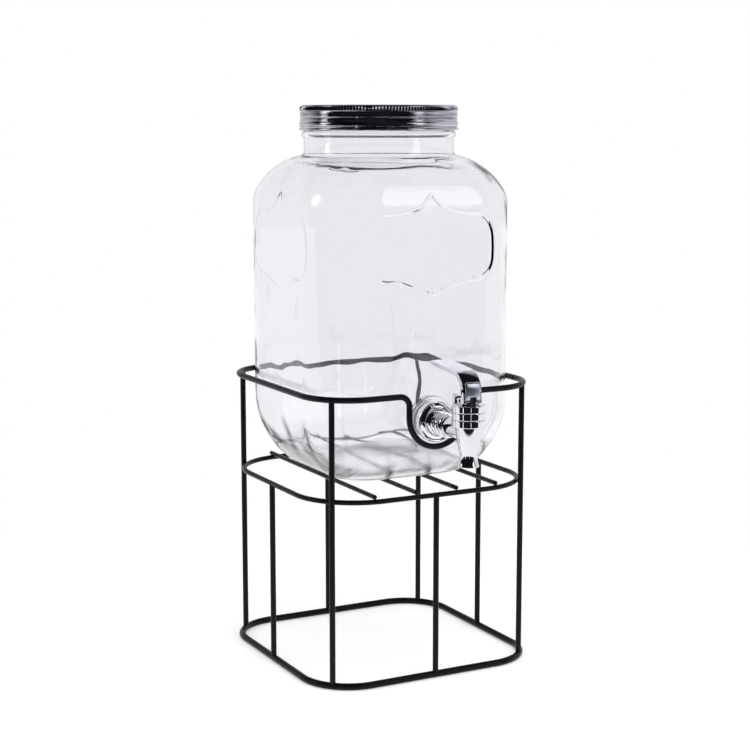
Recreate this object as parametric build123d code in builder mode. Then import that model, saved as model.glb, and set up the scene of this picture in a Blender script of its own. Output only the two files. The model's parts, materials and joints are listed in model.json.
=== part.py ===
from build123d import *
from math import cos, hypot, pi, radians, sin, sqrt
import os

# A beverage dispenser: a square glass jar with a screw lid and a lever tap, lifted
# out of a wire stand. Millimetres, +Z up, origin on the stand's axis at the floor,
# and the tap points along -Y.

# Wire stand
STAND_HALF = 106.0          # centre line of the base ring and the top rail
STAND_CORNER = 44.0         # their corner radius, at the centre line
BASE_WIRE = 3.0             # radius of the base ring's wire
RAIL_WIRE = 2.6             # radius of the top rail's wire
SHELF_WIRE = 2.2            # radius of the shelf ring's wire
LEG_WIRE = 2.5              # radius of the legs' wire
SLAT_WIRE = 2.0             # radius of the slats' wire
SHELF_HEIGHT = 162.0        # centre line of the shelf ring
RAIL_OVER_TAP = 23.9        # centre line of the top rail above the tap's
SLAT_COUNT = 4
SLAT_PITCH = 39.5
SLAT_OVERHANG = 1.2         # how far a slat runs past the shelf ring's centre line
WELD_GAP = 0.05             # a coped wire end stands this far off the wire it meets
DIP_SIDE = 6.3              # room in the front dip, on each side of the tap's flange
DIP_BELOW = 1.1             # and below it
DIP_SHOULDER = 9.0          # bend radius where the rail turns down into the dip
DIP_BEND_MARGIN = 0.1       # straight left between the dip's two lower bends

# Glass jar
JAR_CLEARANCE = 6.4         # from the jar's flat sides to the top rail
JAR_CORNER = 52.0
JAR_WALL = 4.0
BASE_THICKNESS = 7.0
FOOT_HALF = 56.0            # flat underside
FOOT_CORNER = 28.5
FOOT_RISE = 62.7            # height of the rounding between underside and full size
FOOT_FULLNESS = 1.75        # exponent of that rounding: 2 is an ellipse
FOOT_SEAM = 30.0            # where the foot's solid ends and the walls' begins
PUNT_RADIUS = 40.0          # the hollow under the jar
PUNT_DEPTH = 2.0
PUNT_FLAT = 6.0             # flat disc in the middle of it
BODY_TOP = 239.0            # height above the underside where the shoulder starts
SHOULDER_RISE = 40.5
SHOULDER_FULLNESS = 1.65
NECK_RADIUS = 66.3
NECK_WALL = 3.5
NECK_HEIGHT = 41.2          # from the end of the shoulder to the rim
NECK_ROOT = 0.1             # the shoulder's last section lies this far inside the neck
NECK_COVE = 3.0             # hollow rounding between shoulder and neck
COVE_SINK = 1.0             # how deep its edges are buried in the glass
BEAD_PROUD = 1.7            # the ring of glass under the lid
BEAD_HEIGHT = 5.0
BEAD_TOP = 20.5             # depth of the bead's top below the rim
RIM_ROUNDING = 1.2
FLAT_SLIVER = 0.05          # straight left on each side of a section that is all but round
SECTIONS = 9                # lofted sections in each rounding
REST_GAP = 0.3              # the jar stands this far off the slats
BOSS_RADIUS = 21.0          # flat round boss around the tap hole
BOSS_PROUD = 1.5
PAD_RADIUS = 17.0           # flat round pad on the inside
BOSS_THICKNESS = 8.5
TAP_HEIGHT = 57.1           # tap's centre above the jar's underside
TAP_HOLE = 8.5

# Screw lid
LID_WALL = 0.6
LID_CLEARANCE = 2.3         # between the neck and the lid's skirt
LID_HEIGHT = 22.2
LINER_THICKNESS = 1.4
LINER_WIDTH = 6.5
LID_GAP = 0.2               # above and below the liner
MILLED_BAND = 5.6
MILLED_TEETH = 96
MILLED_DEPTH = 0.4
UPPER_BAND = 7.0
GROOVE = 1.2
GROOVE_DEPTH = 0.5
BAND_SWELL = 0.6
CURL_RADIUS = 1.3
PANEL_INSET = 8.8           # from the mouth to the edge of the sunk panel
PANEL_DROP = 1.2
PANEL_STEP = 4.0

# Tap
SHANK_RADIUS = 8.0
SHANK_REACH = 14.0          # how far the shank stands out of the inner pad
BORE_RADIUS = 4.5
WASHER_THICKNESS = 2.5
WASHER_RADIUS = 16.6
WASHER_CLEARANCE = 0.2
NUT_THICKNESS = 8.0
NUT_FLANGE = 15.0
NUT_FLANGE_THICKNESS = 2.5
NUT_HEX = 11.5
NUT_CLEARANCE = 0.2
FLANGE_RADIUS = 17.6
FLANGE_RIM = 5.4            # thickness of the flange at its edge
FLANGE_DOMES = 2            # domed steps from the rim in to the arm
FLANGE_DOME_OUT = 2.2       # how far each one stands out
FLANGE_BULGE = 0.9
ARM_RADIUS = 8.5
ARM_RINGS = 3
ARM_RING_RADIUS = 10.6
ARM_RING_WIDTH = 3.0
ARM_RING_PITCH = 6.0
VALVE_REACH = 60.0          # from the boss face to the valve's axis
BARREL_RADIUS = 11.0
BARREL_SHOULDER = 10.9      # above the tap's centre
BARREL_NECK = 9.4
BARREL_NECK_HEIGHT = 6.5
SPOUT_RADIUS = 7.3
SPOUT_LIP = 9.0
SPOUT_LIP_EDGE = 0.8        # upright edge of the lip
SPOUT_FLARE = 6.5           # height over which the spout flares to its lip
SPOUT_DROP = 29.0           # from the tap's centre to the outlet
CHAMBER_RADIUS = 6.8
CHAMBER_FLOOR = 9.0         # below the tap's centre
OUTLET_RADIUS = 4.2
BONNET_RADIUS = 14.0
BONNET_HEIGHT = 12.0
BONNET_RINGS = 2
BONNET_GROOVE = 1.0
THREAD_CLEARANCE = 0.3
SEAL_THICKNESS = 1.0
SEAL_CLEARANCE = 0.15
STEM_RADIUS = 4.0
STEM_CLEARANCE = 0.3
STEM_BUTTON = 2.5
STEM_BUTTON_LENGTH = 4.0
STEM_FLAT = 2.8             # half thickness of the flattened head
CUP_RADIUS = 6.3
CUP_HEIGHT = 7.5
CUP_NOSE = 2.8
CUP_NOSE_RADIUS = 3.6
CUP_NOSE_TIP = 2.4
SEAT_GAP = 0.3
BUTTON_CLEARANCE = 0.05

# Lever, drawn about its pin
LIFT = 2.5                  # how far a full pull raises the stem
PULL_ANGLE = 60.0
CAM_HEIGHT = 3.4            # pin's centre above the cam's flat
CAM_GAP = 0.3               # between the cam and the bonnet
CAM_POINTS = 7
LEVER_WIDTH = 17.3
LEVER_THICKNESS = 4.0
LEVER_FRONT = 5.6           # front face ahead of the pin
LEVER_RISE = 24.1           # crown of the bend above the pin
LEVER_BEND = 18.0           # outer radius of the bend
LEVER_SLOPE = 5.5           # degrees that the strap rises towards its tip
LEVER_REACH = 48.5          # tip behind the pin
HEEL_BACK = 12.0            # the heel's end behind the pin
HEEL_TOP = 5.5              # and its top above it
HEEL_ROUNDING = 2.0
CHEEK_CLEARANCE = 0.3
FORK_TOP = 3.4              # the fork is cut through the front up to here
FORK_RELIEF = 0.5           # around the stem's head
PIN_RADIUS = 1.5
PIN_CLEARANCE = 0.2

# Places worked out from the sizes
base_height = BASE_WIRE
slat_height = SHELF_HEIGHT + SHELF_WIRE + SLAT_WIRE
jar_half = STAND_HALF - RAIL_WIRE - JAR_CLEARANCE
leg_offset = STAND_HALF - STAND_CORNER + STAND_CORNER / sqrt(2)
leg_diagonal = leg_offset * sqrt(2)
shelf_diagonal = leg_diagonal - LEG_WIRE - SHELF_WIRE - WELD_GAP
shelf_corner = (STAND_HALF * sqrt(2) - shelf_diagonal) / (sqrt(2) - 1)
jar_bottom = slat_height + SLAT_WIRE + REST_GAP
foot_seam = jar_bottom + FOOT_SEAM
shoulder_base = jar_bottom + BODY_TOP
neck_base = shoulder_base + SHOULDER_RISE
rim_height = neck_base + NECK_HEIGHT
bead_top = rim_height - BEAD_TOP
mouth_radius = NECK_RADIUS - NECK_WALL
lid_radius = NECK_RADIUS + LID_CLEARANCE + LID_WALL
panel_radius = mouth_radius - PANEL_INSET
liner_base = rim_height + LID_GAP
lid_inside = liner_base + LINER_THICKNESS + LID_GAP
lid_top = lid_inside + LID_WALL
tap_height = jar_bottom + TAP_HEIGHT
rail_height = tap_height + RAIL_OVER_TAP
dip_half = FLANGE_RADIUS + DIP_SIDE + RAIL_WIRE
dip_low = tap_height - FLANGE_RADIUS - DIP_BELOW - RAIL_WIRE
boss_face = -(jar_half + BOSS_PROUD)
pad_face = boss_face + BOSS_THICKNESS
flange_face = boss_face - WASHER_THICKNESS
valve_y = boss_face - VALVE_REACH
shoulder_height = tap_height + BARREL_SHOULDER
bonnet_top = shoulder_height + BONNET_HEIGHT
bonnet_waist = BONNET_RADIUS - BONNET_GROOVE
ring_height = BONNET_HEIGHT / BONNET_RINGS
collar_base = shoulder_height - ring_height
chamber_floor = tap_height - CHAMBER_FLOOR
outlet_height = tap_height - SPOUT_DROP
neck_top = shoulder_height + BARREL_NECK_HEIGHT
pin_height = bonnet_top + CAM_GAP + CAM_HEIGHT
cup_base = chamber_floor + SEAT_GAP


def wire_ring(half, corner, height, wire):
    """A closed square ring of round wire with rounded corners."""
    with BuildPart() as ring:
        with BuildLine(Plane.XY.offset(height)) as path:
            FilletPolyline(
                (-half, -half), (half, -half), (half, half), (-half, half),
                radius=corner, close=True)
        with BuildSketch(Plane(origin=path.wire() @ 0, z_dir=path.wire() % 0)):
            Circle(wire)
        sweep(path=path.wire())
    return ring.part


def rail_loop(wire):
    """The top rail: a square ring that dips at the front to let the tap past."""
    lower_bend = dip_half - DIP_BEND_MARGIN
    with BuildPart() as loop:
        with BuildLine() as path:
            FilletPolyline(
                (0, STAND_HALF, rail_height),
                (-STAND_HALF, STAND_HALF, rail_height),
                (-STAND_HALF, -STAND_HALF, rail_height),
                (-dip_half, -STAND_HALF, rail_height),
                (-dip_half, -STAND_HALF, dip_low),
                (dip_half, -STAND_HALF, dip_low),
                (dip_half, -STAND_HALF, rail_height),
                (STAND_HALF, -STAND_HALF, rail_height),
                (STAND_HALF, STAND_HALF, rail_height),
                radius=[0, STAND_CORNER, STAND_CORNER, DIP_SHOULDER, lower_bend,
                        lower_bend, DIP_SHOULDER, STAND_CORNER, STAND_CORNER],
                close=True)
        with BuildSketch(Plane(origin=path.wire() @ 0, z_dir=path.wire() % 0)):
            Circle(wire)
        sweep(path=path.wire())
    return loop.part


def rounding(start_half, start_corner, end_half, end_corner, start, rise, fullness):
    """Heights and sizes of the sections of a rounding that starts upright."""
    sections = []
    for step in range(SECTIONS):
        angle = step * pi / 2 / (SECTIONS - 1)
        inset = 1 - max(cos(angle), 0.0) ** (2 / fullness)
        height = start + rise * sin(angle) ** (2 / fullness)
        half = start_half + (end_half - start_half) * inset
        corner = start_corner + (end_corner - start_corner) * inset
        sections.append((height, half, min(corner, half - FLAT_SLIVER)))
    return sections


def lofted(sections):
    """A solid through rounded squares, from the first section to the last."""
    with BuildPart() as shape:
        for height, half, corner in sections:
            with BuildSketch(Plane.XY.offset(height)):
                RectangleRounded(2 * half, 2 * half, corner)
        loft()
    return shape.part


def jar_form(inset, floor, neck_radius, top):
    """The jar's solid form, drawn in from the outside by a wall's thickness."""
    half = jar_half - inset
    corner = JAR_CORNER - inset
    foot_top = jar_bottom + FOOT_RISE
    foot = rounding(half, corner, FOOT_HALF - inset / 2, FOOT_CORNER - inset / 2,
                    foot_top, floor - foot_top, FOOT_FULLNESS)
    neck_half = neck_radius - NECK_ROOT
    shoulder = rounding(half, corner, neck_half, neck_half - FLAT_SLIVER,
                        shoulder_base, SHOULDER_RISE - inset, SHOULDER_FULLNESS)
    with BuildPart() as form:
        add(lofted(foot[::-1]))
        with BuildSketch(Plane.XY.offset(foot_top)):
            RectangleRounded(2 * half, 2 * half, corner)
        extrude(amount=shoulder_base - foot_top)
        add(lofted(shoulder))
        with BuildSketch(Plane.XY.offset(neck_base - inset)):
            Circle(neck_radius)
        extrude(amount=top - neck_base + inset)
    return form.part


# Base ring
with BuildPart() as base_ring:
    add(wire_ring(STAND_HALF, STAND_CORNER, base_height, BASE_WIRE))
base_ring.part.label = "base_ring"

# Shelf ring, inside the corner legs
with BuildPart() as shelf_ring:
    add(wire_ring(STAND_HALF, shelf_corner, SHELF_HEIGHT, SHELF_WIRE))
shelf_ring.part.label = "shelf_ring"

# Top rail
with BuildPart() as top_rail:
    add(rail_loop(RAIL_WIRE))
top_rail.part.label = "top_rail"

# The wires that the legs are coped to, swollen by the weld gap
base_cope = wire_ring(STAND_HALF, STAND_CORNER, base_height, BASE_WIRE + WELD_GAP)
shelf_cope = wire_ring(STAND_HALF, shelf_corner, SHELF_HEIGHT, SHELF_WIRE + WELD_GAP)
rail_cope = rail_loop(RAIL_WIRE + WELD_GAP)

wires = [base_ring, shelf_ring, top_rail]

# Corner legs, from the base ring to the top rail
corner_places = {
    "corner_leg_front_left": (-leg_offset, -leg_offset),
    "corner_leg_front_right": (leg_offset, -leg_offset),
    "corner_leg_rear_right": (leg_offset, leg_offset),
    "corner_leg_rear_left": (-leg_offset, leg_offset),
}
for name, place in corner_places.items():
    with BuildPart() as leg:
        with BuildSketch(Plane.XY.offset(base_height)):
            with Locations(place):
                Circle(LEG_WIRE)
        extrude(amount=rail_height - base_height)
        add(base_cope, mode=Mode.SUBTRACT)
        add(rail_cope, mode=Mode.SUBTRACT)
    leg.part.label = name
    wires.append(leg)

# Side legs, from the base ring to the shelf ring
side_places = {
    "side_leg_front": (0, -STAND_HALF),
    "side_leg_right": (STAND_HALF, 0),
    "side_leg_rear": (0, STAND_HALF),
    "side_leg_left": (-STAND_HALF, 0),
}
for name, place in side_places.items():
    with BuildPart() as leg:
        with BuildSketch(Plane.XY.offset(base_height)):
            with Locations(place):
                Circle(LEG_WIRE)
        extrude(amount=SHELF_HEIGHT - base_height)
        add(base_cope, mode=Mode.SUBTRACT)
        add(shelf_cope, mode=Mode.SUBTRACT)
    leg.part.label = name
    wires.append(leg)

# Slats, laid front to back on the shelf ring
slat_half = STAND_HALF + SLAT_OVERHANG
for number in range(SLAT_COUNT):
    across = (number - (SLAT_COUNT - 1) / 2) * SLAT_PITCH
    with BuildPart() as slat:
        with BuildSketch(Plane.XZ.offset(-slat_half)):
            with Locations((across, slat_height)):
                Circle(SLAT_WIRE)
        extrude(amount=2 * slat_half)
        fillet(slat.edges().filter_by(GeomType.CIRCLE), SLAT_WIRE * 0.8)
        add(shelf_cope, mode=Mode.SUBTRACT)
    slat.part.label = f"shelf_slat_{number + 1}"
    wires.append(slat)

# Glass up to the top of the bead, in one form
with BuildPart() as glass_form:
    add(jar_form(0, jar_bottom, NECK_RADIUS, bead_top))
    with BuildSketch(Plane.XZ):
        with BuildLine():
            Line((NECK_RADIUS - COVE_SINK, neck_base - COVE_SINK),
                 (NECK_RADIUS - COVE_SINK, neck_base + NECK_COVE))
            Line((NECK_RADIUS - COVE_SINK, neck_base + NECK_COVE),
                 (NECK_RADIUS, neck_base + NECK_COVE))
            RadiusArc((NECK_RADIUS, neck_base + NECK_COVE),
                      (NECK_RADIUS + NECK_COVE, neck_base), -NECK_COVE)
            Line((NECK_RADIUS + NECK_COVE, neck_base),
                 (NECK_RADIUS + NECK_COVE + COVE_SINK, neck_base - COVE_SINK))
            Line((NECK_RADIUS + NECK_COVE + COVE_SINK, neck_base - COVE_SINK),
                 (NECK_RADIUS - COVE_SINK, neck_base - COVE_SINK))
        make_face()
    revolve(axis=Axis.Z)
    with BuildSketch(Plane.XY.offset(bead_top)):
        Circle(NECK_RADIUS + BEAD_PROUD)
    extrude(amount=-BEAD_HEIGHT)
    with BuildSketch(Plane.XZ.offset(-pad_face)):
        with Locations((0, tap_height)):
            Circle(BOSS_RADIUS)
    extrude(amount=BOSS_THICKNESS)
    add(jar_form(JAR_WALL, jar_bottom + BASE_THICKNESS, mouth_radius, bead_top),
        mode=Mode.SUBTRACT)
    with BuildSketch(Plane.XZ.offset(-pad_face)):
        with Locations((0, tap_height)):
            Circle(PAD_RADIUS)
    extrude(amount=JAR_WALL)
    with BuildSketch(Plane.XZ.offset(-pad_face)):
        with Locations((0, tap_height)):
            Circle(PAD_RADIUS)
    extrude(amount=-JAR_WALL, mode=Mode.SUBTRACT)
    with BuildSketch(Plane.XZ.offset(-boss_face)):
        with Locations((0, tap_height)):
            Circle(TAP_HOLE)
    extrude(amount=-BOSS_THICKNESS, mode=Mode.SUBTRACT)
    with BuildSketch(Plane.XZ):
        with BuildLine():
            Polyline((0, jar_bottom), (0, jar_bottom + PUNT_DEPTH),
                     (PUNT_FLAT, jar_bottom + PUNT_DEPTH))
            ThreePointArc(
                (PUNT_FLAT, jar_bottom + PUNT_DEPTH),
                (PUNT_RADIUS / 2, jar_bottom + PUNT_DEPTH * 0.75),
                (PUNT_RADIUS, jar_bottom))
            Line((PUNT_RADIUS, jar_bottom), (0, jar_bottom))
        make_face()
    revolve(axis=Axis.Z, mode=Mode.SUBTRACT)

# Foot of the jar: the floor and the start of the rounding
with BuildPart() as glass_foot:
    add(glass_form.part)
    split(bisect_by=Plane.XY.offset(foot_seam), keep=Keep.BOTTOM)
glass_foot.part.label = "glass_foot"

# Jar: the walls, with the boss for the tap
with BuildPart() as glass_jar:
    add(glass_form.part)
    split(bisect_by=Plane.XY.offset(foot_seam), keep=Keep.TOP)
    split(bisect_by=Plane.XY.offset(shoulder_base), keep=Keep.BOTTOM)
glass_jar.part.label = "glass_jar"

# Shoulder: from the square walls in to the round neck and its bead
with BuildPart() as glass_shoulder:
    add(glass_form.part)
    split(bisect_by=Plane.XY.offset(shoulder_base), keep=Keep.TOP)
glass_shoulder.part.label = "glass_shoulder"

# Mouth of the jar: the ring of glass above the bead, inside the lid
with BuildPart() as glass_mouth:
    with BuildSketch(Plane.XY.offset(bead_top)):
        Circle(NECK_RADIUS)
        Circle(mouth_radius, mode=Mode.SUBTRACT)
    extrude(amount=rim_height - bead_top)
    fillet(glass_mouth.edges().group_by(Axis.Z)[-1], RIM_ROUNDING)
glass_mouth.part.label = "glass_mouth"

# Lid liner: the soft ring under the lid
with BuildPart() as lid_liner:
    with BuildSketch(Plane.XY.offset(liner_base)):
        Circle(NECK_RADIUS + LINER_WIDTH / 2 - NECK_WALL / 2)
        Circle(NECK_RADIUS - LINER_WIDTH / 2 - NECK_WALL / 2, mode=Mode.SUBTRACT)
    extrude(amount=LINER_THICKNESS)
lid_liner.part.label = "lid_liner"

# Lid: a pressed shell with a milled band, a groove and a rolled edge
lid_base = lid_top - LID_HEIGHT
milled_base = lid_top - LID_WALL - MILLED_BAND
groove_top = milled_base - UPPER_BAND
inside_radius = lid_radius - LID_WALL
with BuildPart() as lid_shell:
    with BuildSketch(Plane.XZ):
        with BuildLine():
            Line((0, lid_top - PANEL_DROP), (panel_radius, lid_top - PANEL_DROP))
            Line((panel_radius, lid_top - PANEL_DROP), (panel_radius + PANEL_STEP, lid_top))
            Line((panel_radius + PANEL_STEP, lid_top), (lid_radius - LID_WALL * 2, lid_top))
            ThreePointArc(
                (lid_radius - LID_WALL * 2, lid_top),
                (lid_radius - LID_WALL * 0.6, lid_top - LID_WALL * 0.6),
                (lid_radius, lid_top - LID_WALL * 2))
            Line((lid_radius, lid_top - LID_WALL * 2), (lid_radius, milled_base))
            ThreePointArc(
                (lid_radius, milled_base),
                (lid_radius + BAND_SWELL, milled_base - UPPER_BAND / 2),
                (lid_radius, groove_top))
            ThreePointArc(
                (lid_radius, groove_top),
                (lid_radius - GROOVE_DEPTH, groove_top - GROOVE / 2),
                (lid_radius, groove_top - GROOVE))
            Line((lid_radius, groove_top - GROOVE), (lid_radius, lid_base + 2 * CURL_RADIUS))
            ThreePointArc(
                (lid_radius, lid_base + 2 * CURL_RADIUS),
                (lid_radius + CURL_RADIUS, lid_base + CURL_RADIUS),
                (lid_radius, lid_base))
            Line((lid_radius, lid_base), (inside_radius, lid_base))
            Line((inside_radius, lid_base), (inside_radius, lid_inside))
            Line((inside_radius, lid_inside), (panel_radius + PANEL_STEP, lid_inside))
            Line((panel_radius + PANEL_STEP, lid_inside),
                 (panel_radius, lid_inside - PANEL_DROP))
            Line((panel_radius, lid_inside - PANEL_DROP), (0, lid_inside - PANEL_DROP))
            Line((0, lid_inside - PANEL_DROP), (0, lid_top - PANEL_DROP))
        make_face()
    revolve(axis=Axis.Z)
    tooth_half = pi / MILLED_TEETH
    tooth_points = []
    for tooth in range(MILLED_TEETH):
        middle = 2 * tooth_half * tooth
        root = lid_radius - LID_WALL / 3
        crest = lid_radius + MILLED_DEPTH
        tooth_points.append((root * cos(middle), root * sin(middle)))
        tooth_points.append((crest * cos(middle + tooth_half), crest * sin(middle + tooth_half)))
    with BuildSketch(Plane.XY.offset(milled_base)):
        with BuildLine():
            Polyline(*tooth_points, close=True)
        make_face()
        Circle(inside_radius + LID_WALL / 3, mode=Mode.SUBTRACT)
    extrude(amount=MILLED_BAND - LID_WALL)
lid_shell.part.label = "lid_shell"

# Tap body: shank, flange, arm, barrel and spout in one moulding
with BuildPart() as tap_body:
    axis_plane = Plane(origin=(0, 0, tap_height), x_dir=(0, -1, 0), z_dir=(1, 0, 0))
    with BuildSketch(axis_plane):
        shank_end = -(pad_face + SHANK_REACH)
        with BuildLine():
            outline = [(shank_end, 0), (shank_end, SHANK_RADIUS)]
            outline.append((-flange_face, SHANK_RADIUS))
            outline.append((-flange_face, FLANGE_RADIUS))
            rim_front = -flange_face + FLANGE_RIM
            outline.append((rim_front, FLANGE_RADIUS))
            Polyline(*outline)
            dome_in = (FLANGE_RADIUS - ARM_RADIUS) / FLANGE_DOMES
            lean = hypot(dome_in, FLANGE_DOME_OUT)
            for dome in range(FLANGE_DOMES):
                start = (rim_front + dome * FLANGE_DOME_OUT, FLANGE_RADIUS - dome * dome_in)
                end = (start[0] + FLANGE_DOME_OUT, start[1] - dome_in)
                crown = ((start[0] + end[0]) / 2 + FLANGE_BULGE * dome_in / lean,
                         (start[1] + end[1]) / 2 + FLANGE_BULGE * FLANGE_DOME_OUT / lean)
                ThreePointArc(start, crown, end)
            arm_start = rim_front + FLANGE_DOMES * FLANGE_DOME_OUT
            arm_line = [(arm_start, ARM_RADIUS)]
            for ring in range(ARM_RINGS):
                ring_start = arm_start + ARM_RING_WIDTH + ring * ARM_RING_PITCH
                arm_line.append((ring_start, ARM_RADIUS))
                arm_line.append((ring_start, ARM_RING_RADIUS))
                arm_line.append((ring_start + ARM_RING_WIDTH, ARM_RING_RADIUS))
                arm_line.append((ring_start + ARM_RING_WIDTH, ARM_RADIUS))
            arm_line += [(-valve_y, ARM_RADIUS), (-valve_y, 0), (shank_end, 0)]
            Polyline(*arm_line)
        make_face()
    revolve(axis=Axis((0, 0, tap_height), (0, -1, 0)))
    barrel_plane = Plane(origin=(0, valve_y, 0), x_dir=(1, 0, 0), z_dir=(0, -1, 0))
    with BuildSketch(barrel_plane):
        with BuildLine():
            Polyline(
                (0, neck_top), (0, outlet_height), (SPOUT_LIP, outlet_height),
                (SPOUT_LIP, outlet_height + SPOUT_LIP_EDGE))
            Spline(
                (SPOUT_LIP, outlet_height + SPOUT_LIP_EDGE),
                (SPOUT_RADIUS, outlet_height + SPOUT_FLARE),
                (BARREL_RADIUS, collar_base),
                tangents=((-1, 1), (0, 1)))
            Line((BARREL_RADIUS, collar_base), (bonnet_waist, collar_base))
            ThreePointArc(
                (bonnet_waist, collar_base), (BONNET_RADIUS, collar_base + ring_height / 2),
                (bonnet_waist, shoulder_height))
            Polyline(
                (bonnet_waist, shoulder_height), (BARREL_NECK, shoulder_height),
                (BARREL_NECK, neck_top), (0, neck_top))
        make_face()
    revolve(axis=Axis((0, valve_y, 0), (0, 0, 1)))
    with BuildSketch(Plane.XY.offset(neck_top)):
        with Locations((0, valve_y)):
            Circle(CHAMBER_RADIUS)
    extrude(amount=-(neck_top - chamber_floor), mode=Mode.SUBTRACT)
    with BuildSketch(Plane.XY.offset(chamber_floor)):
        with Locations((0, valve_y)):
            Circle(OUTLET_RADIUS)
    extrude(amount=-(chamber_floor - outlet_height), mode=Mode.SUBTRACT)
    with BuildSketch(Plane.XZ.offset(shank_end)):
        with Locations((0, tap_height)):
            Circle(BORE_RADIUS)
    extrude(amount=-valve_y - shank_end, mode=Mode.SUBTRACT)
tap_body.part.label = "tap_body"

# Sealing washers, one on each side of the glass
washer_seats = {"outer_washer": boss_face, "inner_washer": pad_face + WASHER_THICKNESS}
washers = []
for name, front in washer_seats.items():
    with BuildPart() as washer:
        with BuildSketch(Plane.XZ.offset(-front)):
            with Locations((0, tap_height)):
                Circle(WASHER_RADIUS if name == "outer_washer" else NUT_FLANGE)
                Circle(SHANK_RADIUS + WASHER_CLEARANCE, mode=Mode.SUBTRACT)
        extrude(amount=WASHER_THICKNESS)
    washer.part.label = name
    washers.append(washer)

# Nut inside the jar
nut_face = pad_face + WASHER_THICKNESS
with BuildPart() as tap_nut:
    with BuildSketch(Plane.XZ.offset(-nut_face)):
        with Locations((0, tap_height)):
            Circle(NUT_FLANGE)
    extrude(amount=-NUT_FLANGE_THICKNESS)
    with BuildSketch(Plane.XZ.offset(-nut_face)):
        with Locations((0, tap_height)):
            RegularPolygon(NUT_HEX, 6, major_radius=False)
    extrude(amount=-NUT_THICKNESS)
    with BuildSketch(Plane.XZ.offset(-nut_face)):
        with Locations((0, tap_height)):
            Circle(SHANK_RADIUS + NUT_CLEARANCE)
    extrude(amount=-NUT_THICKNESS, mode=Mode.SUBTRACT)
tap_nut.part.label = "tap_nut"

# Bonnet: the ribbed collar that closes the barrel and guides the stem
bonnet_inside = neck_top + SEAL_THICKNESS
with BuildPart() as bonnet:
    with BuildSketch(Plane(origin=(0, valve_y, 0), x_dir=(1, 0, 0), z_dir=(0, -1, 0))):
        with BuildLine():
            Line((0, shoulder_height), (bonnet_waist, shoulder_height))
            for ring in range(BONNET_RINGS):
                low = shoulder_height + ring * ring_height
                ThreePointArc(
                    (bonnet_waist, low), (BONNET_RADIUS, low + ring_height / 2),
                    (bonnet_waist, low + ring_height))
            Line((bonnet_waist, bonnet_top), (0, bonnet_top))
            Line((0, bonnet_top), (0, shoulder_height))
        make_face()
    revolve(axis=Axis((0, valve_y, 0), (0, 0, 1)))
    with BuildSketch(Plane.XY.offset(shoulder_height)):
        with Locations((0, valve_y)):
            Circle(BARREL_NECK + THREAD_CLEARANCE)
    extrude(amount=bonnet_inside - shoulder_height, mode=Mode.SUBTRACT)
    with BuildSketch(Plane.XY.offset(bonnet_inside)):
        with Locations((0, valve_y)):
            Circle(STEM_RADIUS + STEM_CLEARANCE)
    extrude(amount=bonnet_top - bonnet_inside, mode=Mode.SUBTRACT)
bonnet.part.label = "bonnet"

# Stem seal, held between the barrel and the bonnet
with BuildPart() as stem_seal:
    with BuildSketch(Plane.XY.offset(neck_top)):
        with Locations((0, valve_y)):
            Circle(BARREL_NECK)
            Circle(STEM_RADIUS + SEAL_CLEARANCE, mode=Mode.SUBTRACT)
    extrude(amount=SEAL_THICKNESS)
stem_seal.part.label = "stem_seal"

# Seat cup: the soft plug on the stem's foot
cup_top = cup_base + CUP_HEIGHT
with BuildPart() as seat_cup:
    with BuildSketch(Plane(origin=(0, valve_y, 0), x_dir=(1, 0, 0), z_dir=(0, -1, 0))):
        with BuildLine():
            Polyline(
                (0, cup_top), (0, cup_base - CUP_NOSE), (CUP_NOSE_TIP, cup_base - CUP_NOSE),
                (CUP_NOSE_RADIUS, cup_base), (CUP_RADIUS, cup_base),
                (CUP_RADIUS, cup_base + CUP_HEIGHT / 3), (STEM_RADIUS, cup_top),
                close=True)
        make_face()
    revolve(axis=Axis((0, valve_y, 0), (0, 0, 1)))
    with BuildSketch(Plane.XY.offset(cup_top)):
        with Locations((0, valve_y)):
            Circle(STEM_BUTTON + BUTTON_CLEARANCE)
    extrude(amount=-STEM_BUTTON_LENGTH, mode=Mode.SUBTRACT)
seat_cup.part.label = "seat_cup"

# Valve stem: a rod with a button in the cup and a flattened head for the pin
head_top = pin_height + STEM_RADIUS
flat_base = pin_height - CAM_HEIGHT - LIFT - CAM_GAP - FORK_RELIEF
with BuildPart() as valve_stem:
    with BuildSketch(Plane.XY.offset(cup_top)):
        with Locations((0, valve_y)):
            Circle(STEM_RADIUS)
    extrude(amount=pin_height - cup_top)
    with BuildSketch(Plane.YZ.offset(-STEM_FLAT)):
        with Locations((valve_y, pin_height)):
            Circle(STEM_RADIUS)
    extrude(amount=2 * STEM_FLAT)
    with BuildSketch(Plane.XY.offset(cup_top)):
        with Locations((0, valve_y)):
            Circle(STEM_BUTTON)
    extrude(amount=-STEM_BUTTON_LENGTH)
    with BuildSketch(Plane.XY.offset(flat_base)):
        with Locations((0, valve_y)):
            Rectangle(4 * STEM_RADIUS, 4 * STEM_RADIUS)
            Rectangle(2 * STEM_FLAT, 4 * STEM_RADIUS, mode=Mode.SUBTRACT)
    extrude(amount=head_top - flat_base, mode=Mode.SUBTRACT)
    with BuildSketch(Plane.YZ.offset(-STEM_RADIUS)):
        with Locations((valve_y, pin_height)):
            Circle(PIN_RADIUS + PIN_CLEARANCE)
    extrude(amount=2 * STEM_RADIUS, mode=Mode.SUBTRACT)
valve_stem.part.label = "valve_stem"

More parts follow.
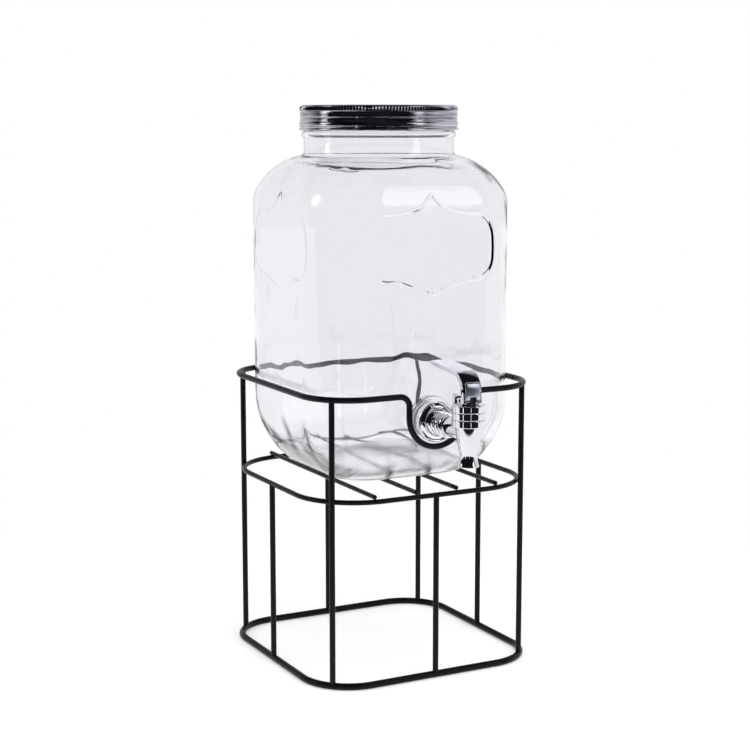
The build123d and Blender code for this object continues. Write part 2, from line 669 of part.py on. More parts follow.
# Lever: a strap bent back over the valve, forked round the stem's head. Its foot is
# an involute, so a steady pull lifts the stem at a steady rate against the bonnet.
cam_rate = LIFT / radians(PULL_ANGLE)
cam_curve = []
for point in range(CAM_POINTS):
    turn = radians(PULL_ANGLE) * point / (CAM_POINTS - 1)
    reach = CAM_HEIGHT + cam_rate * turn
    cam_curve.append((
        -reach * sin(turn) - cam_rate * cos(turn),
        -reach * cos(turn) + cam_rate * sin(turn)))
cam_toe = cam_curve[-1]
lever_plane = Plane(origin=(0, valve_y, pin_height), x_dir=(0, 1, 0), z_dir=(1, 0, 0))
slope = radians(LEVER_SLOPE)
bend_middle = (LEVER_BEND - LEVER_FRONT, LEVER_RISE - LEVER_BEND)
half_bend = (pi / 2 - slope) / 2


def on_bend(radius, turn):
    """A point of the bend, turned up from its upright front."""
    return (bend_middle[0] - radius * cos(turn), bend_middle[1] + radius * sin(turn))


bend_in = LEVER_BEND - LEVER_THICKNESS
strap_top = on_bend(LEVER_BEND, 2 * half_bend)
strap_base = on_bend(bend_in, 2 * half_bend)
strap_start = (strap_top[0] + strap_base[0]) / 2
strap_run = (LEVER_REACH - strap_start) / cos(slope) - LEVER_THICKNESS / 2
along = (cos(slope), sin(slope))
tip_top = (strap_top[0] + strap_run * along[0], strap_top[1] + strap_run * along[1])
tip_base = (strap_base[0] + strap_run * along[0], strap_base[1] + strap_run * along[1])
tip_end = ((tip_top[0] + tip_base[0] + LEVER_THICKNESS * along[0]) / 2,
           (tip_top[1] + tip_base[1] + LEVER_THICKNESS * along[1]) / 2)
with BuildPart() as lever:
    with BuildSketch(lever_plane.offset(-LEVER_WIDTH / 2)):
        with BuildLine():
            Spline(*cam_curve)
            Line(cam_toe, on_bend(LEVER_BEND, 0))
            ThreePointArc(on_bend(LEVER_BEND, 0), on_bend(LEVER_BEND, half_bend), strap_top)
            Line(strap_top, tip_top)
            ThreePointArc(tip_top, tip_end, tip_base)
            Line(tip_base, strap_base)
            ThreePointArc(strap_base, on_bend(bend_in, half_bend), on_bend(bend_in, 0))
            Line(on_bend(bend_in, 0), (on_bend(bend_in, 0)[0], HEEL_TOP))
            Line((on_bend(bend_in, 0)[0], HEEL_TOP), (HEEL_BACK - HEEL_ROUNDING, HEEL_TOP))
            RadiusArc((HEEL_BACK - HEEL_ROUNDING, HEEL_TOP),
                      (HEEL_BACK, HEEL_TOP - HEEL_ROUNDING), HEEL_ROUNDING)
            Line((HEEL_BACK, HEEL_TOP - HEEL_ROUNDING), (HEEL_BACK, -CAM_HEIGHT))
            Line((HEEL_BACK, -CAM_HEIGHT), cam_curve[0])
        make_face()
    extrude(amount=LEVER_WIDTH)
    fork_half = STEM_FLAT + CHEEK_CLEARANCE
    fork_radius = STEM_RADIUS + FORK_RELIEF
    with BuildSketch(lever_plane.offset(-fork_half)):
        with BuildLine():
            Polyline(
                (-2 * LEVER_FRONT, FORK_TOP), (-2 * LEVER_FRONT, -2 * CAM_HEIGHT),
                (2 * HEEL_BACK, -2 * CAM_HEIGHT), (2 * HEEL_BACK, 2 * HEEL_TOP),
                (fork_radius, 2 * HEEL_TOP), (-fork_radius / 2, fork_radius),
                (-fork_radius, FORK_TOP), close=True)
        make_face()
    extrude(amount=2 * fork_half, mode=Mode.SUBTRACT)
    with BuildSketch(lever_plane.offset(-LEVER_WIDTH / 2)):
        Circle(PIN_RADIUS)
    extrude(amount=LEVER_WIDTH, mode=Mode.SUBTRACT)
lever.part.label = "lever"

# Lever pin, fixed in the lever's cheeks and turning in the stem's head
with BuildPart() as lever_pin:
    with BuildSketch(lever_plane.offset(-LEVER_WIDTH / 2)):
        Circle(PIN_RADIUS)
    extrude(amount=LEVER_WIDTH)
lever_pin.part.label = "lever_pin"

# Write every piece
pieces = wires + washers + [
    glass_foot, glass_jar, glass_shoulder, glass_mouth, lid_liner, lid_shell, tap_body, tap_nut,
    bonnet, stem_seal, seat_cup, valve_stem, lever, lever_pin]
os.makedirs("parts", exist_ok=True)
for piece in pieces:
    export_step(piece.part, f"parts/{piece.part.label}.step")
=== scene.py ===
import bpy
import json
from math import atan2, cos, hypot, pi, radians, sin, sqrt
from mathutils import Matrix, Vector, noise


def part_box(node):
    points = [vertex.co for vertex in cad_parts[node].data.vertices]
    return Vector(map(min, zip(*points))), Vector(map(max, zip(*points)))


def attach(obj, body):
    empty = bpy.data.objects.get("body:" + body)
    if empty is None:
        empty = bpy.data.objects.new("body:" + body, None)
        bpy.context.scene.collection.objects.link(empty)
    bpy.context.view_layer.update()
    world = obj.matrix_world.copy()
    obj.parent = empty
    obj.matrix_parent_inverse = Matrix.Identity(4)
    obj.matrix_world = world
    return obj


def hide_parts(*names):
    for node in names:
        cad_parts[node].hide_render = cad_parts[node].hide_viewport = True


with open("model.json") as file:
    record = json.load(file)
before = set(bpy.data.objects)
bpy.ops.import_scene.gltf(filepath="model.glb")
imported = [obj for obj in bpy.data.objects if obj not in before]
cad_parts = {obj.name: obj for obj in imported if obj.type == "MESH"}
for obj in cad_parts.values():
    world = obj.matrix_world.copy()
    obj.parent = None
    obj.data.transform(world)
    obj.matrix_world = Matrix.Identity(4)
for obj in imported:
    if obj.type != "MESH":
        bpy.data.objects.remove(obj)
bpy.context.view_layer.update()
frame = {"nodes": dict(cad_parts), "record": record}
bpy.ops.object.select_all(action="DESELECT")
MM = 0.001

# The photographer's camera: a long lens a metre and a half off, a little above the
# jar's shoulder, looking down at the front left corner of the stand.
CAMERA_PLACE = Vector((-0.6918, -1.3156, 0.4819))
CAMERA_AIM = Vector((0.4599, 0.8746, -0.1534))
CAMERA_LENS = 80.04
SENSOR_WIDTH = 36.0
CAMERA_SHIFT = -0.0049
bpy.ops.object.camera_add(location=CAMERA_PLACE,
                          rotation=CAMERA_AIM.to_track_quat("-Z", "Y").to_euler())
camera = bpy.context.object
camera.data.lens = CAMERA_LENS
camera.data.sensor_width = SENSOR_WIDTH
camera.data.shift_x = CAMERA_SHIFT
bpy.context.scene.camera = camera
bpy.context.scene.view_settings.view_transform = "Standard"

# The studio: a pale table top that takes the stand's shadow and fades out to white, in a
# white room lit by soft boxes and two narrow strips. Bright metal and glass also mirror
# the dark end of the room, above and behind the camera, and past the table's near edge.
FLOOR_RADIUS = 6.0
FLOOR_SIDES = 96
FLOOR_ALBEDO = 0.80
FLOOR_LIFT = 0.34
FADE_START = 0.26
FADE_END = 0.62
TABLE_EDGE = 0.60
EDGE_SOFTNESS = 0.12
ROOM_SIDE = Vector((-0.465, -0.885, 0.0))
ROOM_COLOR = (0.012, 0.012, 0.014, 1)
WHITE = (1, 1, 1, 1)


def feed(tree, node, sources):
    """Links each socket to its source, or sets it where the source is a plain value."""
    for socket, source in sources.items():
        if isinstance(source, bpy.types.NodeSocket):
            tree.links.new(source, node.inputs[socket])
        else:
            node.inputs[socket].default_value = source


def add_node(tree, kind, sources=None, **settings):
    """Adds a node with its settings, and feeds its sockets."""
    node = tree.nodes.new(kind)
    for name, value in settings.items():
        setattr(node, name, value)
    feed(tree, node, sources or {})
    return node


def math_result(tree, operation, *sources, **settings):
    """The result of a Math node."""
    return add_node(tree, "ShaderNodeMath", dict(enumerate(sources)), operation=operation,
                    **settings).outputs[0]


bpy.ops.mesh.primitive_circle_add(vertices=FLOOR_SIDES, radius=FLOOR_RADIUS,
                                  fill_type="NGON", location=(0, 0, 0))
floor = bpy.context.object
floor.name = "table_top"
floor_paint = bpy.data.materials.new("white_table")
floor_paint.use_nodes = True
tree = floor_paint.node_tree
tree.nodes.clear()
place = add_node(tree, "ShaderNodeTexCoord").outputs["Object"]
path = add_node(tree, "ShaderNodeLightPath").outputs
diffuse = add_node(tree, "ShaderNodeBsdfDiffuse", {"Color": (*[FLOOR_ALBEDO] * 3, 1)})
glow = add_node(tree, "ShaderNodeEmission", {"Color": WHITE, "Strength": FLOOR_LIFT})
lifted = add_node(tree, "ShaderNodeAddShader", {0: diffuse.outputs[0], 1: glow.outputs[0]})
far = add_node(tree, "ShaderNodeEmission", {"Color": WHITE})
reach = add_node(tree, "ShaderNodeVectorMath", {0: place}, operation="LENGTH")
fade = add_node(tree, "ShaderNodeMapRange", {
    "Value": reach.outputs["Value"], "From Min": FADE_START, "From Max": FADE_END},
    interpolation_type="SMOOTHSTEP")
seen_top = add_node(tree, "ShaderNodeMixShader", {
    "Fac": fade.outputs["Result"], 1: lifted.outputs[0], 2: far.outputs[0]})
straight = math_result(tree, "MAXIMUM", path["Is Camera Ray"], path["Is Transmission Ray"])
seen = math_result(tree, "MAXIMUM", straight, path["Is Glossy Ray"])
table = add_node(tree, "ShaderNodeMixShader", {
    "Fac": seen, 1: diffuse.outputs[0], 2: seen_top.outputs[0]})
towards = add_node(tree, "ShaderNodeVectorMath", {0: place, 1: ROOM_SIDE},
                   operation="DOT_PRODUCT")
edge = add_node(tree, "ShaderNodeMapRange", {
    "Value": towards.outputs["Value"], "From Min": TABLE_EDGE,
    "From Max": TABLE_EDGE + EDGE_SOFTNESS}, interpolation_type="SMOOTHSTEP")
mirrored = math_result(tree, "SUBTRACT", path["Is Glossy Ray"], path["Is Transmission Ray"],
                       use_clamp=True)
past_edge = math_result(tree, "MULTIPLY", edge.outputs["Result"], mirrored)
room = add_node(tree, "ShaderNodeEmission", {"Color": ROOM_COLOR})
surface = add_node(tree, "ShaderNodeMixShader", {
    "Fac": past_edge, 1: table.outputs[0], 2: room.outputs[0]})
add_node(tree, "ShaderNodeOutputMaterial", {"Surface": surface.outputs[0]})
floor.data.materials.append(floor_paint)

ROOM_LIGHT = 0.80
DARK_SIDE = Vector((-0.567, -0.515, 0.643))
ROOM_STOPS = [(0.40, (0.72, 0.72, 0.76, 1)), (0.60, (0.006, 0.006, 0.008, 1))]
world = bpy.data.worlds.new("studio")
bpy.context.scene.world = world
world.use_nodes = True
tree = world.node_tree
tree.nodes.clear()
place = add_node(tree, "ShaderNodeTexCoord").outputs["Generated"]
path = add_node(tree, "ShaderNodeLightPath").outputs
turn = add_node(tree, "ShaderNodeVectorMath", {0: place, 1: DARK_SIDE},
                operation="DOT_PRODUCT")
towards = math_result(tree, "MULTIPLY_ADD", turn.outputs["Value"], 0.5, 0.5)
ramp = add_node(tree, "ShaderNodeValToRGB", {"Fac": towards})
for stop, (position, color) in zip(ramp.color_ramp.elements, ROOM_STOPS):
    stop.position = position
    stop.color = color
mirror = add_node(tree, "ShaderNodeBackground", {"Color": ramp.outputs["Color"]})
soft = add_node(tree, "ShaderNodeBackground", {"Color": WHITE, "Strength": ROOM_LIGHT})
walls = add_node(tree, "ShaderNodeBackground", {"Color": WHITE})
bounced = add_node(tree, "ShaderNodeMixShader", {
    "Fac": path["Is Glossy Ray"], 1: soft.outputs[0], 2: mirror.outputs[0]})
straight = math_result(tree, "MAXIMUM", path["Is Camera Ray"], path["Is Transmission Ray"])
surround = add_node(tree, "ShaderNodeMixShader", {
    "Fac": straight, 1: bounced.outputs[0], 2: walls.outputs[0]})
add_node(tree, "ShaderNodeOutputWorld", {"Surface": surround.outputs[0]})

# Each lamp: name, place, aim, width, height, power, whether glass and metal show it
LAMPS = [
    ("left_soft_box", (-1.52, 0.62, 0.95), (0, 0, 0.4), 0.55, 1.0, 3.4, True),
    ("right_soft_box", (0.89, -1.45, 1.05), (0, 0, 0.4), 0.7, 1.35, 3.8, True),
    ("left_strip", (-0.95, -0.55, 0.08), (0, -0.15, 0.24), 0.025, 0.16, 0.05, True),
    ("middle_strip", (-0.25, -1.15, 0.06), (0, -0.15, 0.24), 0.015, 0.12, 0.02, True),
    ("overhead_soft_box", (0.1, -0.5, 1.8), (0, 0, 0.2), 1.0, 0.8, 7.0, False)]
for name, place, aim, width, height, power, shown in LAMPS:
    turn = (Vector(aim) - Vector(place)).to_track_quat("-Z", "Y").to_euler()
    bpy.ops.object.light_add(type="AREA", location=place, rotation=turn)
    lamp = bpy.context.object
    lamp.name = name
    lamp.data.shape = "ELLIPSE"
    lamp.data.size = width
    lamp.data.size_y = height
    lamp.data.energy = power
    lamp.visible_glossy = shown
    lamp.visible_transmission = shown

# Surface finishes shared by several pieces: a grain group gives a soft mottle for
# roughness and colour, and a height for the bump, at a scale set in each finish.
BROAD_DETAIL = 3.0
FINE_DETAIL = 1.0
FINE_RATIO = 7.0


def make_grain_group():
    """The group: a mottle about one half as Mask, and a finer noise as Height."""
    group = bpy.data.node_groups.new("surface_grain", "ShaderNodeTree")
    for name, kind in (("Scale", "Float"), ("Contrast", "Float"), ("Stretch", "Vector")):
        group.interface.new_socket(name, in_out="INPUT", socket_type="NodeSocket" + kind)
    for name in ("Mask", "Height"):
        group.interface.new_socket(name, in_out="OUTPUT", socket_type="NodeSocketFloat")
    entry = add_node(group, "NodeGroupInput").outputs
    place = add_node(group, "ShaderNodeTexCoord").outputs["Object"]
    drawn = add_node(group, "ShaderNodeVectorMath", {0: place, 1: entry["Stretch"]},
                     operation="MULTIPLY").outputs["Vector"]
    broad = add_node(group, "ShaderNodeTexNoise", {
        "Vector": drawn, "Scale": entry["Scale"], "Detail": BROAD_DETAIL})
    finer = math_result(group, "MULTIPLY", entry["Scale"], FINE_RATIO)
    fine = add_node(group, "ShaderNodeTexNoise", {
        "Vector": drawn, "Scale": finer, "Detail": FINE_DETAIL})
    spread = math_result(group, "SUBTRACT", broad.outputs["Fac"], 0.5)
    mask = math_result(group, "MULTIPLY_ADD", spread, entry["Contrast"], 0.5)
    add_node(group, "NodeGroupOutput", {"Mask": mask, "Height": fine.outputs["Fac"]})
    return group


grain_group = make_grain_group()


def add_grain(tree, scale, contrast, stretch):
    """The outputs of the grain group in a material."""
    node = tree.nodes.new("ShaderNodeGroup")
    node.node_tree = grain_group
    feed(tree, node, {"Scale": scale, "Contrast": contrast, "Stretch": stretch})
    return node.outputs


def finish(name, dark, light, rough, scale, bump, depth=0.2 * MM, contrast=2.0,
           stretch=(1, 1, 1), **sockets):
    """A Principled finish whose colour and roughness drift with the grain group."""
    paint = bpy.data.materials.new(name)
    paint.use_nodes = True
    tree = paint.node_tree
    grain = add_grain(tree, scale, contrast, stretch)
    tint = add_node(tree, "ShaderNodeMix", data_type="RGBA")
    feed(tree, tint, {"Factor": grain["Mask"], "A": (*dark, 1), "B": (*light, 1)})
    sheen = add_node(tree, "ShaderNodeMapRange", {
        "Value": grain["Mask"], "To Min": rough[0], "To Max": rough[1]})
    relief = add_node(tree, "ShaderNodeBump", {
        "Height": grain["Height"], "Strength": bump, "Distance": depth})
    shader = tree.nodes["Principled BSDF"]
    feed(tree, shader, {"Base Color": tint.outputs["Result"],
                        "Roughness": sheen.outputs["Result"],
                        "Normal": relief.outputs["Normal"]})
    feed(tree, shader, {socket.replace("_", " "): value for socket, value in sockets.items()})
    return paint


def dress(node, paint):
    """Gives a CAD node its finish."""
    piece = frame["nodes"][node]
    piece.data.materials.clear()
    piece.data.materials.append(paint)


# The stand: steel wire bent into rings and welded, then painted black. The paint is
# even and half glossy, with the slight orange peel of a sprayed coat.
STAND_WIRES = frame["record"]["behaviour"]["bodies"]["stand"]
black_paint = finish("black_wire_paint", (0.003, 0.003, 0.004), (0.006, 0.006, 0.007),
                     rough=(0.26, 0.36), scale=220.0, bump=0.25, Specular_IOR_Level=0.14)
for wire in STAND_WIRES:
    dress(wire, black_paint)

# The jar: pressed soda glass, a rounded square that closes to a round neck, with a flat
# boss for the tap. The mould leaves its inside a little uneven, and raises a plain panel
# outline on the front and on the left side, and the thread on the neck.
GLASS_LOW = Vector((0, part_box("glass_jar")[0].y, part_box("glass_foot")[0].z))
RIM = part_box("glass_mouth")[1].z
BODY_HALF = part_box("glass_jar")[1].x
BODY_CORNER = 52 * MM
GLASS_WALL = 4 * MM
FOOT_HALF = 56 * MM
FOOT_CORNER = 28.5 * MM
FOOT_TOP = GLASS_LOW.z + 62.7 * MM
FLOOR_THICK = 7 * MM
SHOULDER_BASE = GLASS_LOW.z + 239 * MM
SHOULDER_TOP = SHOULDER_BASE + 40.5 * MM
NECK = 66.3 * MM
NECK_WALL = 3.5 * MM
NECK_FILLET = 3.0 * MM
BEAD = 68 * MM
BEAD_FOOT = RIM - 25.5 * MM
BEAD_HEAD = RIM - 20.5 * MM
BEAD_MARGIN = 1 * MM
LIP_ROUND = 1.4 * MM
PUNT = 40 * MM
PUNT_DEPTH = 2 * MM
PUNT_LAND = 2 * MM
PUNT_SHARES = (0.0, 0.3, 0.6, 0.85, 0.97)
INNER_FLOOR = (30 * MM, 15 * MM, 0.0)
AROUND = 224
ROUNDING_STEPS = 26
WALL_STEPS = 30
FILLET_STEPS = 6
HALF_ROUND_STEPS = 8
FOOT_FULLNESS = 1.75
SHOULDER_FULLNESS = 1.65
RIPPLE = 0.5 * MM
RIPPLE_SCALE = 28
FINE_RIPPLE = 0.7
FINE_RIPPLE_SCALE = 65
RIPPLE_CALM = 30 * MM
FLOOR_WAVE = 0.4 * MM
FLOOR_WAVE_SCALE = 45
SMOOTH_LIP_RINGS = 6


def rounded_reach(angle, half, corner):
    """Distance from the axis to a rounded square, in the direction angle."""
    folded = abs((angle + pi / 4) % (pi / 2) - pi / 4)
    flat = half - corner
    if half * sin(folded) <= flat * cos(folded):
        return half / cos(folded)
    span = flat * sqrt(2)
    lean = folded - pi / 4
    return span * cos(lean) + sqrt(max(corner ** 2 - (span * sin(lean)) ** 2, 0))


def rounding_rings(start, end, base, rise, fullness):
    """Rings (half, corner, height) that leave the wall upright and close to end."""
    rings = []
    for step in range(ROUNDING_STEPS + 1):
        angle = step * pi / 2 / ROUNDING_STEPS
        inset = 1 - max(cos(angle), 0) ** (2 / fullness)
        half = start[0] + (end[0] - start[0]) * inset
        corner = start[1] + (end[1] - start[1]) * inset
        rings.append((half, min(corner, half), base + rise * sin(angle) ** (2 / fullness)))
    return rings


def wall_rings(inset, floor_height):
    """The rings of one side of the glass, from its floor up to the neck."""
    half, corner = BODY_HALF - inset, BODY_CORNER - inset
    foot_end = (FOOT_HALF - inset / 2, FOOT_CORNER - inset / 2)
    foot = rounding_rings((half, corner), foot_end, FOOT_TOP, floor_height - FOOT_TOP,
                          FOOT_FULLNESS)
    neck = NECK if inset == 0 else NECK - NECK_WALL
    rise = SHOULDER_TOP - SHOULDER_BASE - inset
    shoulder = rounding_rings((half, corner), (neck, neck), SHOULDER_BASE, rise,
                              SHOULDER_FULLNESS)
    fillet = NECK_FILLET + inset
    rings = foot[::-1]
    for step in range(1, WALL_STEPS):
        rings.append((half, corner, FOOT_TOP + (SHOULDER_BASE - FOOT_TOP) * step / WALL_STEPS))
    rings += [ring for ring in shoulder if ring[0] > neck + fillet]
    for step in range(FILLET_STEPS + 1):
        angle = step * pi / 2 / FILLET_STEPS
        reach = neck + fillet * (1 - sin(angle))
        rings.append((reach, reach, SHOULDER_BASE + rise + fillet * (1 - cos(angle))))
    return rings


def jar_rings():
    """All rings of the glass, from the middle of the punt over the rim to the floor."""
    rings = [(reach, reach, GLASS_LOW.z + PUNT_DEPTH * (1 - (reach / PUNT) ** 2))
             for reach in (PUNT * share for share in PUNT_SHARES)]
    rings += [(PUNT + PUNT_LAND, PUNT + PUNT_LAND, GLASS_LOW.z)]
    rings += wall_rings(0, GLASS_LOW.z)
    middle = (BEAD_FOOT + BEAD_HEAD) / 2
    bead_half = (BEAD_HEAD - BEAD_FOOT) / 2
    rings += [(NECK, NECK, BEAD_FOOT - BEAD_MARGIN)]
    for step in range(HALF_ROUND_STEPS + 1):
        angle = -pi / 2 + step * pi / HALF_ROUND_STEPS
        swell = NECK + (BEAD - NECK) * max(cos(angle), 0) ** 0.5
        rings.append((swell, swell, middle + bead_half * sin(angle)))
    rings += [(NECK, NECK, BEAD_HEAD + BEAD_MARGIN)]
    for step in range(HALF_ROUND_STEPS + 1):
        angle = step * pi / HALF_ROUND_STEPS
        reach = NECK - LIP_ROUND + LIP_ROUND * cos(angle)
        if angle > pi / 2:
            reach = NECK - NECK_WALL + LIP_ROUND + LIP_ROUND * cos(angle)
        rings.append((reach, reach, RIM - LIP_ROUND + LIP_ROUND * sin(angle)))
    rings += wall_rings(GLASS_WALL, GLASS_LOW.z + FLOOR_THICK)[::-1]
    rings += [(reach, reach, GLASS_LOW.z + FLOOR_THICK) for reach in INNER_FLOOR]
    return rings


def clamped(share):
    """A share kept between 0 and 1."""
    return min(1.0, max(0.0, share))


def select_only(piece):
    """Leaves one object selected and active, in object mode."""
    bpy.ops.object.select_all(action="DESELECT")
    piece.select_set(True)
    bpy.context.view_layer.objects.active = piece


def settle(piece):
    """Moves a finished piece's place into its mesh."""
    select_only(piece)
    bpy.ops.object.transform_apply(location=True, rotation=True, scale=True)


def tidy_mesh(piece, reach=0.001 * MM):
    """Closes seams and turns every face outwards."""
    select_only(piece)
    bpy.ops.object.mode_set(mode="EDIT")
    bpy.ops.mesh.select_all(action="SELECT")
    bpy.ops.mesh.remove_doubles(threshold=reach)
    bpy.ops.mesh.normals_make_consistent(inside=False)
    bpy.ops.object.mode_set(mode="OBJECT")


def smooth(piece, degrees=32):
    """Shades a piece smooth, apart from edges sharper than degrees."""
    select_only(piece)
    bpy.ops.object.shade_smooth_by_angle(angle=radians(degrees))


rings = jar_rings()
lip_ring = max(range(len(rings)), key=lambda index: rings[index][2])
bpy.ops.mesh.primitive_grid_add(x_subdivisions=AROUND, y_subdivisions=len(rings) - 1, size=1)
jar = bpy.context.object
jar.name = "jar_glass"
for vertex in jar.data.vertices:
    angle = (vertex.co.x + 0.5) * 2 * pi
    index = round((vertex.co.y + 0.5) * (len(rings) - 1))
    half, corner, height = rings[index]
    reach = rounded_reach(angle, half, corner)
    if index > lip_ring + SMOOTH_LIP_RINGS:
        if reach > 0:
            spot = Vector((cos(angle) * reach, sin(angle) * reach, height))
            calm = clamped((SHOULDER_TOP - height) / RIPPLE_CALM)
            reach += RIPPLE * calm * (noise.noise(spot * RIPPLE_SCALE)
                                      + FINE_RIPPLE * noise.noise(spot * FINE_RIPPLE_SCALE))
        spot = Vector((cos(angle) * reach, sin(angle) * reach, 0))
        low = clamped((GLASS_LOW.z + 3 * FLOOR_THICK - height) / FLOOR_THICK)
        height += FLOOR_WAVE * low * noise.noise(spot * FLOOR_WAVE_SCALE)
    vertex.co = (cos(angle) * reach, sin(angle) * reach, height)
tidy_mesh(jar)

# Tap boss and its inner pad
TAP_HEIGHT = GLASS_LOW.z + 57.1 * MM
BOSS_FACE = GLASS_LOW.y
BOSS_THICK = 7 * MM
BOSS_REACH = 21 * MM
PAD_FACE = BOSS_FACE + 8.5 * MM
PAD_THICK = 4 * MM
PAD_REACH = 17 * MM
SPOT_DEPTH = 5 * MM
HOLE_REACH = 8.5 * MM
HOLE_MARGIN = 2 * MM
EDGE_ROUND = 1.0 * MM
EDGE_SEGMENTS = 4
DISC_SIDES = 96
SAME_PLACE = 0.01 * MM


def disc_along_y(name, reach, front, back, edge=0.0):
    """A disc between two depths, its front edge rounded, centred on the tap."""
    bpy.ops.mesh.primitive_cylinder_add(
        vertices=DISC_SIDES, radius=reach, depth=abs(back - front),
        location=(0, (front + back) / 2, TAP_HEIGHT), rotation=(pi / 2, 0, 0))
    disc = bpy.context.object
    disc.name = name
    settle(disc)
    if edge:
        bpy.ops.object.mode_set(mode="EDIT")
        bpy.ops.mesh.select_all(action="DESELECT")
        bpy.ops.object.mode_set(mode="OBJECT")
        for line in disc.data.edges:
            line.select = all(abs(disc.data.vertices[v].co.y - front) < SAME_PLACE
                              for v in line.vertices)
        bpy.ops.object.mode_set(mode="EDIT")
        bpy.ops.mesh.select_mode(type="EDGE")
        bpy.ops.mesh.bevel(offset=edge, segments=EDGE_SEGMENTS, affect="EDGES")
        bpy.ops.object.mode_set(mode="OBJECT")
    return disc


def combine(target, tools, operation):
    """Joins tools to a solid, or cuts them from it, and removes the tools."""
    box = bpy.data.collections.new("tools")
    bpy.context.scene.collection.children.link(box)
    for tool in tools:
        box.objects.link(tool)
    select_only(target)
    cut = target.modifiers.new("cut", "BOOLEAN")
    cut.operation = operation
    cut.operand_type = "COLLECTION"
    cut.collection = box
    cut.solver = "MANIFOLD"
    bpy.ops.object.modifier_apply(modifier=cut.name)
    target.data.materials.clear()
    for tool in tools:
        bpy.data.objects.remove(tool)
    bpy.data.collections.remove(box)


# Raised outlines: places (across, height) in millimetres, down the panel's right half
PANEL_HALF = [
    (0, 41.8), (5.6, 36.0), (11.9, 31.3), (21.7, 27.7), (34.5, 25.6), (46.3, 25.2),
    (52.0, 22.2), (56.4, 17.4), (60.0, 9.5), (61.2, -0.5), (61.2, -9.5), (60.4, -17.0),
    (56.9, -23.7), (50.9, -28.4), (44.0, -30.2), (37.0, -30.5), (29.0, -31.9),
    (17.3, -36.4), (7.0, -40.3), (0, -41.8)]
PANEL_MIDDLE = 375.2 * MM
PANEL_REACH = 61.2 * MM
SIDE_PANEL_WIDTH = 0.85
OUTLINE_STEPS = 6
BAR_RESOLUTION = 3
RIDGE = 2.0 * MM
RIDGE_SWELL = 0.25
FRONT_SINK = 0.75 * MM
SIDE_SINK = 1.86 * MM


def face_depth(across, height):
    """How far the front of the glass lies from the axis at a place on it."""
    share = clamped((height - SHOULDER_BASE) / (SHOULDER_TOP - SHOULDER_BASE))
    inset = 1 - (1 - share ** SHOULDER_FULLNESS) ** (1 / SHOULDER_FULLNESS)
    half = BODY_HALF + (NECK - BODY_HALF) * inset
    corner = BODY_CORNER + (NECK - BODY_CORNER) * inset
    past = abs(across) - (half - corner)
    if past <= 0:
        return half
    return half - corner + sqrt(max(corner ** 2 - past ** 2, 0))


def round_bar(name, places, radii, bevel, closed):
    """A solid bar along a run of places, its radius bevel times the one at each place."""
    bpy.ops.curve.primitive_bezier_circle_add(radius=1)
    bar = bpy.context.object
    bar.name = name
    bar.data.splines.clear()
    track = bar.data.splines.new("POLY")
    track.points.add(len(places) - 1)
    track.use_cyclic_u = closed
    for point, place, radius in zip(track.points, places, radii):
        point.co = (*place, 1)
        point.radius = radius
    bar.data.dimensions = "3D"
    bar.data.bevel_depth = bevel
    bar.data.bevel_resolution = BAR_RESOLUTION
    bar.data.use_fill_caps = not closed
    select_only(bar)
    bpy.ops.object.convert(target="MESH")
    return bar


def panel_outline(wide):
    """The panel's closed outline, wide times as wide as the front one, smoothed."""
    places = [Vector((x * wide, y)) * MM for x, y in PANEL_HALF]
    places += [Vector((-place.x, place.y)) for place in places[-2:0:-1]]
    outline = []
    for index, place in enumerate(places):
        before, after = places[index - 1], places[(index + 1) % len(places)]
        later = places[(index + 2) % len(places)]
        point = index % (len(PANEL_HALF) - 1) == 0
        next_point = (index + 1) % (len(PANEL_HALF) - 1) == 0
        start_pull = (after - place) / 3 if point else (after - before) / 6
        end_pull = (after - place) / 3 if next_point else (later - place) / 6
        for step in range(OUTLINE_STEPS):
            share = step / OUTLINE_STEPS
            outline.append(place * (1 - share) ** 3
                           + (place + start_pull) * 3 * share * (1 - share) ** 2
                           + (after - end_pull) * 3 * share ** 2 * (1 - share)
                           + after * share ** 3)
    return [(place.x, place.y + PANEL_MIDDLE) for place in outline]


def panel_ridge(name, side, wide, sink, swell):
    """A bead of glass on the panel's outline, sunk into the front or side of the jar,
    thicker by the share swell at its right end and thinner by it at its left."""
    places, radii = [], []
    for across, height in panel_outline(wide):
        depth = face_depth(across, height) - sink
        places.append((across, -depth, height) if side == "front" else (-depth, -across, height))
        radii.append(1 + swell * across / PANEL_REACH)
    return round_bar(name, places, radii, RIDGE, closed=True)


front_ridge = panel_ridge("front_ridge", "front", 1.0, FRONT_SINK, RIDGE_SWELL)
side_ridge = panel_ridge("side_ridge", "side", SIDE_PANEL_WIDTH, SIDE_SINK, 0.0)

# Neck thread: one and a half turns of a round ridge that fades out at both ends
THREAD_TURNS = 1.5
THREAD_LIFT = 5.5 * MM
THREAD_START = RIM - 14 * MM
THREAD_STEPS = 150
THREAD_ROUND = 1.2 * MM
THREAD_FADE = 12
THREAD_TIP = 0.05
THREAD_WELD = 0.0001 * MM
places, radii = [], []
for step in range(THREAD_STEPS + 1):
    share = step / THREAD_STEPS
    angle = share * 2 * THREAD_TURNS * pi
    places.append((NECK * cos(angle), NECK * sin(angle),
                   THREAD_START + THREAD_LIFT * THREAD_TURNS * share))
    radii.append(min(1.0, THREAD_TIP + min(share, 1 - share) * THREAD_FADE))
thread = round_bar("neck_thread", places, radii, THREAD_ROUND, closed=False)
tidy_mesh(thread, THREAD_WELD)

